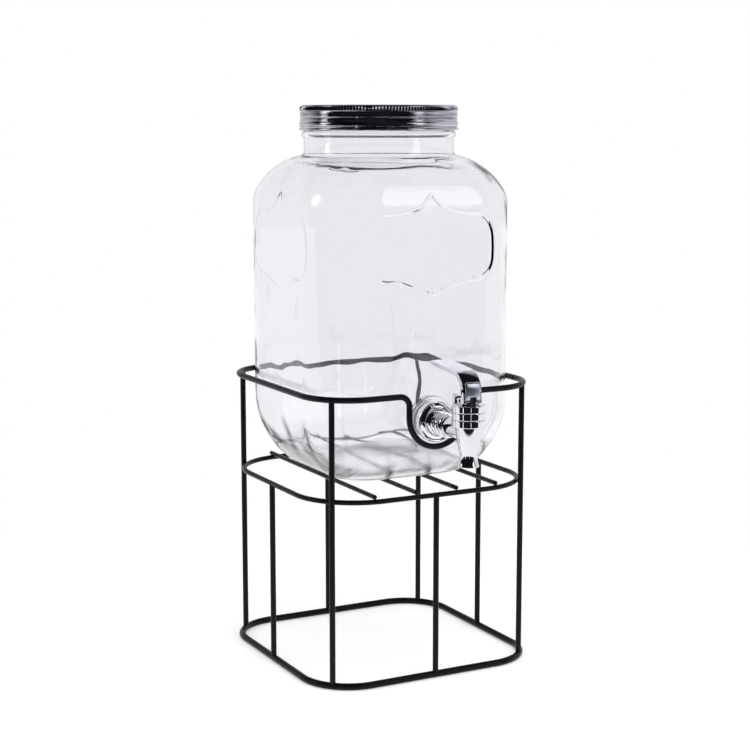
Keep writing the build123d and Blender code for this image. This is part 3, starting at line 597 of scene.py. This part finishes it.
boss = disc_along_y("boss", BOSS_REACH, BOSS_FACE, BOSS_FACE + BOSS_THICK, EDGE_ROUND)
pad = disc_along_y("pad", PAD_REACH, PAD_FACE - PAD_THICK, PAD_FACE)
spot_face = disc_along_y("spot_face", PAD_REACH, PAD_FACE, PAD_FACE + SPOT_DEPTH)
hole = disc_along_y("hole", HOLE_REACH, BOSS_FACE - HOLE_MARGIN, PAD_FACE + HOLE_MARGIN)
combine(jar, [boss, pad, front_ridge, side_ridge, thread], "UNION")
combine(jar, [spot_face, hole], "DIFFERENCE")
smooth(jar)

# Clear glass: a faint lavender cast, with fine ripples from the mould, and a foot that is
# worn a little dull
GLASS_TINT = (0.915, 0.915, 0.945, 1)
SHADOW_TINT = (0.86, 0.86, 0.88, 1)
GLASS_IOR = 1.5
RIPPLE_BUMP = 0.04
DULLNESS = 0.16
DULL_START = GLASS_LOW.z + 58 * MM
DULL_FULL = GLASS_LOW.z + 10 * MM
clear_glass = bpy.data.materials.new("clear_pressed_glass")
clear_glass.use_nodes = True
tree = clear_glass.node_tree
glass = tree.nodes["Principled BSDF"]
grain = add_grain(tree, scale=30, contrast=1, stretch=(1, 1, 1))
ripple = add_node(tree, "ShaderNodeBump", {
    "Height": grain["Mask"], "Strength": RIPPLE_BUMP, "Distance": 1 * MM})
place = add_node(tree, "ShaderNodeTexCoord").outputs["Object"]
height = add_node(tree, "ShaderNodeSeparateXYZ", {0: place}).outputs["Z"]
dull = add_node(tree, "ShaderNodeMapRange", {
    "Value": height, "From Min": DULL_START, "From Max": DULL_FULL, "To Min": 0.0,
    "To Max": DULLNESS}, interpolation_type="SMOOTHSTEP")
feed(tree, glass, {"Base Color": GLASS_TINT, "IOR": GLASS_IOR, "Transmission Weight": 1.0,
                   "Roughness": dull.outputs["Result"], "Normal": ripple.outputs["Normal"]})
let_light = add_node(tree, "ShaderNodeBsdfTransparent", {"Color": SHADOW_TINT})
shadow_ray = add_node(tree, "ShaderNodeLightPath").outputs["Is Shadow Ray"]
either = add_node(tree, "ShaderNodeMixShader", {
    "Fac": shadow_ray, 1: glass.outputs["BSDF"], 2: let_light.outputs["BSDF"]})
feed(tree, tree.nodes["Material Output"], {"Surface": either.outputs["Shader"]})
jar.data.materials.append(clear_glass)
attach(jar, "jar")
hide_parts("glass_foot", "glass_jar", "glass_shoulder", "glass_mouth")

# The lid: tinplate pressed to a cap with a sunk panel, milled round its top edge, banded
# round the skirt and rolled at the hem. A soft paste liner seals it on the rim.
LID_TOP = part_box("lid_shell")[1].z
LID_COLUMNS = 318
MILL_DEPTH = 0.9 * MM
MILL_CREST = 69.55 * MM
MILL_FOOT = 5.2 * MM
HEM = 1.3
HEM_REACH = 69.2
HEM_DEPTH = 20.9
HEM_STEPS = 8


def turned(name, section, count, place=(0, 0, 0), tilt=0.0):
    """Spins a closed section of (reach, height) points in millimetres into a solid."""
    bpy.ops.object.select_all(action="DESELECT")
    bpy.ops.mesh.primitive_circle_add(vertices=len(section), radius=1)
    piece = bpy.context.object
    piece.name = name
    for vertex, (reach, height) in zip(piece.data.vertices, section):
        vertex.co = (reach * MM, 0, height * MM)
    bpy.ops.object.mode_set(mode="EDIT")
    bpy.ops.mesh.select_all(action="SELECT")
    bpy.ops.mesh.spin(steps=count, angle=2 * pi, center=(0, 0, 0), axis=(0, 0, 1))
    bpy.ops.object.mode_set(mode="OBJECT")
    piece.location = place
    piece.rotation_euler = (tilt, 0, 0)
    settle(piece)
    tidy_mesh(piece)
    bpy.ops.object.mode_set(mode="EDIT")
    bpy.ops.mesh.select_all(action="SELECT")
    bpy.ops.mesh.delete_loose(use_verts=True, use_edges=True, use_faces=False)
    bpy.ops.object.mode_set(mode="OBJECT")
    return piece


# Places (reach, depth under the lid's top) in millimetres: panel, curl, milled band,
# skirt with its two bands, hem and the way back inside. The extra places beside each
# rounding keep the bands flat.
lid_section = [
    (0, 1.2), (26, 1.2), (53.2, 1.2), (54.2, 1.12), (55.0, 0.9), (57.0, 0.28), (57.8, 0.06),
    (58.8, 0), (66.6, 0), (67.8, 0.16), (68.6, 0.6), (69.0, 1.3),
    (69.1, 1.6), (69.6, 1.8), (69.65, 3.4), (69.6, 5.0), (69.1, 5.2), (69.0, 5.5),
    (69.2, 5.8), (69.3, 6.2), (69.3, 6.5), (69.3, 10.0), (69.3, 10.2), (69.15, 10.6),
    (68.8, 10.85), (68.75, 11.15), (69.15, 11.4), (69.3, 11.7), (69.3, 11.9), (69.3, 14.2),
    (69.3, 14.4), (69.5, 14.8), (69.8, 15.2), (69.95, 15.7), (69.95, 15.9), (69.95, 17.4),
    (69.95, 17.6), (69.75, 18.2), (69.35, 18.6), (69.25, 19.4)]
for step in range(HEM_STEPS + 1):
    angle = -pi / 2 + step * pi / HEM_STEPS
    lid_section.append((HEM_REACH + HEM * cos(angle), HEM_DEPTH + HEM * sin(angle)))
lid_section += [
    (68.3, 21.9), (68.0, 21.2), (68.1, 20.2), (68.5, 19.2), (68.6, 18.0), (68.6, 1.6),
    (68.2, 0.9), (67.4, 0.6), (58.4, 0.6), (54.4, 1.75), (0, 1.8)]
lid = turned("lid_cap", [(reach, LID_TOP / MM - depth) for reach, depth in lid_section],
             LID_COLUMNS)
for vertex in lid.data.vertices:
    reach = hypot(vertex.co.x, vertex.co.y)
    column = round(atan2(vertex.co.y, vertex.co.x) / (2 * pi / LID_COLUMNS))
    if column % 2 and reach > MILL_CREST and LID_TOP - vertex.co.z < MILL_FOOT:
        vertex.co.xy *= (reach - MILL_DEPTH) / reach
smooth(lid, degrees=24)
# The tinplate's colour runs from dark to light in long upright streaks. These are painted
# reflection streaks: they stand in for the streaky mirror image of the room on the lid's ends.
lid_finish_with_painted_streaks = finish("tinplate_with_painted_reflection_streaks", (0.26, 0.26, 0.30), (0.66, 0.66, 0.70),
                  rough=(0.07, 0.16), scale=22, bump=0.35, depth=0.12 * MM, contrast=4.5,
                  stretch=(1, 1, 24), Metallic=1.0)
lid.data.materials.append(lid_finish_with_painted_streaks)
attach(lid, "lid")
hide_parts("lid_shell")
liner_paste = finish("liner_paste", (0.70, 0.70, 0.68), (0.80, 0.80, 0.78),
                     rough=(0.5, 0.7), scale=60, bump=0.2)
dress("lid_liner", liner_paste)

# The tap's body: one moulding of a threaded shank, a domed flange, a ringed arm and a
# barrel that narrows to a flared spout, plated with bright chrome. The shank goes
# through the glass, and the collar on the barrel carries the bonnet.
chrome = finish("chrome_plating", (0.76, 0.76, 0.79), (0.84, 0.84, 0.87),
                rough=(0.03, 0.07), scale=60, bump=0.03, Metallic=1.0)
FLANGE_FACE = -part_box("outer_washer")[0].y / MM
SHANK_END = -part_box("tap_body")[1].y / MM
VALVE_Y = (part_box("valve_stem")[0].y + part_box("valve_stem")[1].y) / 2
VALVE_REACH = -VALVE_Y / MM
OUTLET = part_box("tap_body")[0].z / MM
NECK_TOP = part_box("tap_body")[1].z / MM
KNURL_HEIGHT = 6.0
COLLAR_BASE = TAP_HEIGHT / MM + 4.9
COLLAR_TOP = COLLAR_BASE + KNURL_HEIGHT
CHAMBER_FLOOR = TAP_HEIGHT / MM - 9
CHAMBER_REACH = 6.8
OUTLET_REACH = 4.2
BORE_REACH = 4.5
THREAD_PITCH = 1.8
THREAD_LEAD = 1.2
THREAD_RELIEF = 3.0
THREAD_CORE = 7.2
THREAD_CREST = 7.95
ARM_REACH = 8.5
ARM_RINGS = 3
RING_START = 12.8
RING_PITCH = 6.0
SPOUT_REACH = 8.9
SPOUT_FLARE = 1.6
FLARE_RISE = 9.0
FLARE_STEPS = 8
WAIST_REACH = 7.3
WAIST_RISE = 10.0
BARREL_SWELL = 3.7
BARREL_HOLLOW = 0.25
BARREL_STEPS = 14
KNURL_WAIST = 13.2
KNURL_CREST = 14.0
TURNED_SIDES = 128
BORED_SIDES = 64


def knurl_ring(base, height=KNURL_HEIGHT):
    """The section of one flat-faced ring of the bonnet, from its base up."""
    rise = [(KNURL_WAIST, 0), (KNURL_CREST - 0.35, 0.08), (KNURL_CREST - 0.1, 0.22),
            (KNURL_CREST, 0.5), (KNURL_CREST, 0.7)]
    return ([(reach, base + up) for reach, up in rise]
            + [(reach, base + height - up) for reach, up in reversed(rise)])


# Sections are places (reach, height), or for the arm (reach, distance from the axis of
# the jar), in millimetres
arm_section = [(0, SHANK_END), (THREAD_CORE, SHANK_END)]
ridge = SHANK_END + THREAD_LEAD
while ridge < FLANGE_FACE - THREAD_RELIEF:
    arm_section += [(THREAD_CORE, ridge), (THREAD_CREST, ridge + 0.6),
                    (THREAD_CREST, ridge + 0.8), (THREAD_CORE, ridge + 1.4)]
    ridge += THREAD_PITCH
arm_section += [(8.0, FLANGE_FACE - 1.5), (8.0, FLANGE_FACE)]
arm_section += [(reach, FLANGE_FACE + out) for reach, out in (
    (17.5, 0), (17.6, 2.0), (17.6, 4.4), (17.3, 5.2), (16.8, 5.5), (16.2, 5.2), (15.8, 5.5),
    (15.2, 6.6), (14.2, 7.5), (13.0, 8.0), (12.2, 8.0), (11.9, 7.6), (11.5, 8.0),
    (11.2, 9.0), (10.5, 9.9), (9.6, 10.3), (8.9, 10.2), (8.6, 10.6), (8.5, 11.6))]
for ring in range(ARM_RINGS):
    start = FLANGE_FACE + RING_START + RING_PITCH * ring
    arm_section += [(reach, start + out) for reach, out in (
        (ARM_REACH, 0), (9.6, 0.15), (10.3, 0.6), (10.6, 1.5), (10.3, 2.4), (9.6, 2.85),
        (ARM_REACH, 3.0))]
arm_section += [(ARM_REACH, VALVE_REACH), (0, VALVE_REACH)]
tap_arm = turned("tap_arm", arm_section, TURNED_SIDES, (0, 0, TAP_HEIGHT), tilt=pi / 2)

barrel_section = [(0, OUTLET), (8.6, OUTLET), (SPOUT_REACH, OUTLET + 0.15),
                  (9.0, OUTLET + 0.5), (SPOUT_REACH, OUTLET + 1.0)]
for step in range(1, FLARE_STEPS + 1):
    share = step / FLARE_STEPS
    barrel_section.append((SPOUT_REACH - SPOUT_FLARE * (1 - (1 - share) ** 2),
                           OUTLET + 1.0 + FLARE_RISE * share))
for step in range(1, BARREL_STEPS + 1):
    share = step / BARREL_STEPS
    swell = (1 - (1 - share) ** 2) * (1 - BARREL_HOLLOW * (1 - share))
    barrel_section.append((WAIST_REACH + BARREL_SWELL * swell, OUTLET + WAIST_RISE
                           + (COLLAR_BASE - OUTLET - WAIST_RISE - 0.2) * share))
barrel_section += [(11.4, COLLAR_BASE - 0.05)] + knurl_ring(COLLAR_BASE)
barrel_section += [(9.4, COLLAR_TOP), (9.4, NECK_TOP - 0.3), (9.1, NECK_TOP), (0, NECK_TOP)]
tap = turned("tap_moulding", barrel_section, TURNED_SIDES, (0, VALVE_Y, 0))
chamber = turned("chamber", [
    (0, CHAMBER_FLOOR), (CHAMBER_REACH, CHAMBER_FLOOR), (CHAMBER_REACH, NECK_TOP + 1),
    (0, NECK_TOP + 1)], BORED_SIDES, (0, VALVE_Y, 0))
outlet = turned("outlet", [
    (0, OUTLET - 1), (4.9, OUTLET - 1), (OUTLET_REACH, OUTLET + 0.7),
    (OUTLET_REACH, CHAMBER_FLOOR + 1), (0, CHAMBER_FLOOR + 1)], BORED_SIDES, (0, VALVE_Y, 0))
bore = turned("bore", [
    (0, SHANK_END - 1), (BORE_REACH, SHANK_END - 1), (BORE_REACH, VALVE_REACH),
    (0, VALVE_REACH)], BORED_SIDES, (0, 0, TAP_HEIGHT), tilt=pi / 2)
combine(tap, [tap_arm], "UNION")
combine(tap, [chamber, outlet, bore], "DIFFERENCE")
smooth(tap, degrees=30)
tap.data.materials.append(chrome)
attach(tap, "jar")
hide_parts("tap_body")

# The bonnet: a plated collar of two flat-faced rings, like the one on the barrel below,
# screwed on the barrel over the seal.
BONNET_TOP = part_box("bonnet")[1].z / MM
SEAL_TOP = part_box("stem_seal")[1].z / MM
BONNET_GAP = 0.02
bonnet_section = (knurl_ring(COLLAR_TOP + BONNET_GAP, KNURL_HEIGHT - 2 * BONNET_GAP)
                  + knurl_ring(COLLAR_TOP + KNURL_HEIGHT + BONNET_GAP,
                               KNURL_HEIGHT - BONNET_GAP)[1:])
bonnet_section += [
    (12.2, BONNET_TOP - 0.5), (11.7, BONNET_TOP - 0.1), (11.0, BONNET_TOP), (4.8, BONNET_TOP),
    (4.3, BONNET_TOP - 0.5), (4.3, SEAL_TOP + BONNET_GAP), (9.7, SEAL_TOP + BONNET_GAP),
    (9.7, COLLAR_TOP + BONNET_GAP)]
bonnet = turned("bonnet_collar", bonnet_section, TURNED_SIDES, (0, VALVE_Y, 0))
smooth(bonnet, degrees=30)
bonnet.data.materials.append(chrome)
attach(bonnet, "jar")
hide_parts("bonnet")

# The lever: a plated strap bent back over the valve, with a raised satin pad on its front
# and a heel that rests on the bonnet. Its forked foot is a cam round the lever pin.
PIN_HEIGHT = (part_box("lever_pin")[0].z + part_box("lever_pin")[1].z) / 2 / MM
LEVER_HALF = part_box("lever")[1].x / MM
FORK_HALF = 3.1
CAM_HEIGHT = 3.4
CAM_TURN = radians(60)
STEM_LIFT = 2.5
CAM_RATE = STEM_LIFT / CAM_TURN
CAM_STEPS = 8
STRAP = 4.0
BEND = 18.0
BEND_MIDDLE = (12.4, 6.1)
OUTER_STEPS = 18
INNER_STEPS = 14
TIP_STEPS = 8
SLOPE = radians(5.5)
STRAP_START = 10.9
STRAP_END = 46.6
PAD_HALF = LEVER_HALF - 1.7
PAD_EDGE = LEVER_HALF - 1.1
PAD_BACK = VALVE_Y - 5.7 * MM
PAD_ROUND = 1.3 * MM
LEVER_ROUND = 0.45 * MM


def from_pin(points):
    """Turns places (back, up) from the lever's pin into (y, z) in millimetres."""
    return [(VALVE_Y / MM + back, PIN_HEIGHT + up) for back, up in points]


def bent(radius, start, end, steps):
    """Points (back, up) of an arc about the middle of the lever's bend."""
    turns = [start + (end - start) * step / steps for step in range(steps + 1)]
    return [(BEND_MIDDLE[0] - radius * cos(turn), BEND_MIDDLE[1] + radius * sin(turn))
            for turn in turns]


def plate(name, outline, half_width):
    """A solid of even width across the tap, from its (y, z) outline."""
    bpy.ops.object.select_all(action="DESELECT")
    bpy.ops.mesh.primitive_circle_add(vertices=len(outline), radius=1)
    piece = bpy.context.object
    piece.name = name
    for vertex, (y, z) in zip(piece.data.vertices, outline):
        vertex.co = (-half_width * MM, y * MM, z * MM)
    bpy.ops.object.mode_set(mode="EDIT")
    bpy.ops.mesh.select_all(action="SELECT")
    bpy.ops.mesh.edge_face_add()
    bpy.ops.mesh.extrude_region_move(
        TRANSFORM_OT_translate={"value": (2 * half_width * MM, 0, 0)})
    bpy.ops.object.mode_set(mode="OBJECT")
    tidy_mesh(piece)
    return piece


def round_edges(piece, width, degrees, segments):
    """Bevels the edges of a piece that are sharper than degrees."""
    select_only(piece)
    bevel = piece.modifiers.new("round", "BEVEL")
    bevel.width = width
    bevel.segments = segments
    bevel.limit_method = "ANGLE"
    bevel.angle_limit = radians(degrees)
    bpy.ops.object.modifier_apply(modifier=bevel.name)


cam = []
for step in range(CAM_STEPS + 1):
    turn = CAM_TURN * step / CAM_STEPS
    reach = CAM_HEIGHT + CAM_RATE * turn
    cam.append((-reach * sin(turn) - CAM_RATE * cos(turn),
                -reach * cos(turn) + CAM_RATE * sin(turn)))
outer = bent(BEND, 0, pi / 2 - SLOPE, OUTER_STEPS)
inner = bent(BEND - STRAP, pi / 2 - SLOPE, 0, INNER_STEPS)
tip_rise = (STRAP_END - STRAP_START) * sin(SLOPE) / cos(SLOPE)
tip_middle = (STRAP_END, (outer[-1][1] + inner[0][1]) / 2 + tip_rise)
tip = [(tip_middle[0] + STRAP / 2 * cos(turn + SLOPE),
        tip_middle[1] + STRAP / 2 * sin(turn + SLOPE))
       for turn in (pi / 2 - step * pi / TIP_STEPS for step in range(TIP_STEPS + 1))]
heel = [(inner[-1][0], 5.2), (inner[-1][0] + 0.4, 4.8), (10.0, 4.8), (11.3, 4.3),
        (11.9, 3.2), (12.0, -3.0), (11.7, -CAM_HEIGHT)]
lever = plate("lever_strap", from_pin(cam + outer + tip + inner + heel), LEVER_HALF)
fork = plate("fork", from_pin([(-12, 3.4), (-12, -8), (24, -8), (24, 11), (4.5, 11),
                               (4.5, 6.0), (-2.2, 4.6), (-4.5, 3.4)]), FORK_HALF)
front_pad = plate("front_pad", from_pin([
    (-6.5, -0.5), (-7.4, 1.5), (-7.55, 5), (-7.5, 10), (-7.1, 13.6), (-6.2, 15.4),
    (-2.5, 15.4), (-2.5, -0.5)]), PAD_HALF)
round_edges(front_pad, PAD_ROUND, degrees=50, segments=5)
combine(lever, [front_pad], "UNION")
combine(lever, [fork], "DIFFERENCE")
round_edges(lever, LEVER_ROUND, degrees=40, segments=3)
smooth(lever, degrees=30)
lever.data.materials.append(chrome)
satin = finish("satin_pad", (0.52, 0.54, 0.64), (0.66, 0.68, 0.78), rough=(0.20, 0.30),
               scale=90, bump=0.04, Metallic=1.0)
lever.data.materials.append(satin)
for face in lever.data.polygons:
    if face.center.y < PAD_BACK and abs(face.center.x) < PAD_EDGE * MM:
        face.material_index = 1
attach(lever, "tap_lever")
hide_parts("lever")
dress("lever_pin", chrome)

# The small parts of the tap: soft washers on both sides of the glass, the nut inside the
# jar, and the seal, soft cup and stem of the valve. Their CAD shapes only get a finish.
silicone = finish("clear_silicone", (0.62, 0.62, 0.60), (0.74, 0.74, 0.72),
                  rough=(0.35, 0.5), scale=80, bump=0.1)
for piece in ("outer_washer", "inner_washer", "stem_seal", "seat_cup"):
    dress(piece, silicone)
nut_plastic = finish("nut_plastic", (0.55, 0.55, 0.57), (0.65, 0.65, 0.67),
                     rough=(0.3, 0.45), scale=80, bump=0.1)
dress("tap_nut", nut_plastic)
stem_plastic = finish("stem_plastic", (0.02, 0.02, 0.022), (0.04, 0.04, 0.042),
                      rough=(0.3, 0.45), scale=80, bump=0.1)
dress("valve_stem", stem_plastic)
